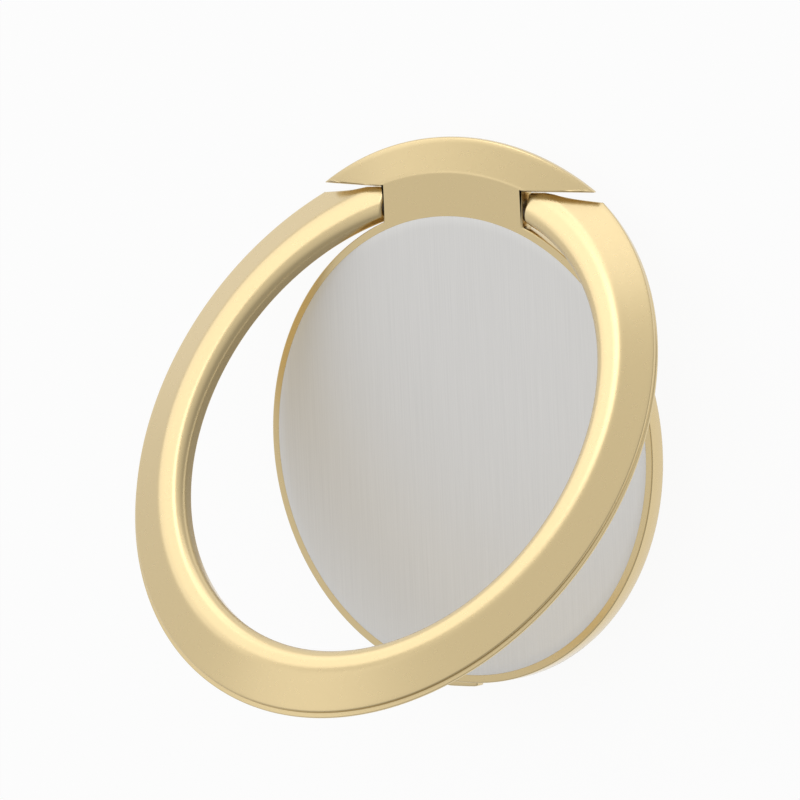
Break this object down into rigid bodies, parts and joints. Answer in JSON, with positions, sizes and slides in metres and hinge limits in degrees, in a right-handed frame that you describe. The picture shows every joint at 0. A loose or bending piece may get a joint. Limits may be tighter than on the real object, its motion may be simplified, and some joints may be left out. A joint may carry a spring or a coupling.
{
  "type": "phone ring holder",
  "caption": "Flat round phone ring holder: a finger ring hinged to a bevelled carrier disc with a brushed inlay, turning on a swivel base with an adhesive back.",
  "frame": {"origin": "centre of the adhesive face on the back of the pad, on the swivel axis", "axes": "+Z away from the phone, +Y from the disc's centre to the hinge, +X along the hinge pins"},
  "size_m": [0.0402, 0.0359, 0.02],
  "materials": {
    "gold_plated_zinc": "satin gold plate",
    "brushed_inlay_steel": "brushed",
    "spring_steel": "bright",
    "base_steel": "plain stamped",
    "acetal": "natural",
    "adhesive_foam": "matte foam tape",
    "adhesive_film": "clear film"
  },
  "bodies": {
    "base": {"adhesive_pad": "adhesive_foam", "base_plate": "base_steel", "swivel_rivet": "spring_steel", "spring_washer": "spring_steel", "glide_washer": "acetal"},
    "carrier": {"carrier_plate": "gold_plated_zinc", "face_inlay": "brushed_inlay_steel", "inlay_tape": "adhesive_film", "hinge_pin_left": "spring_steel", "hinge_pin_right": "spring_steel", "friction_washer_left": "acetal", "friction_washer_right": "acetal"},
    "ring": {"finger_ring": "gold_plated_zinc"}
  },
  "joints": [
    {"name": "swivel", "type": "hinge", "parent": "base", "child": "carrier", "pos_m": [0, 0, 0], "axis": [0, 0, 1], "continuous": true},
    {"name": "ring_flip", "type": "hinge", "parent": "carrier", "child": "ring", "pos_m": [0, 0.0153, 0.00218], "axis": [-1, 0, 0], "range_deg": [-30.5, 89.5]}
  ]
}
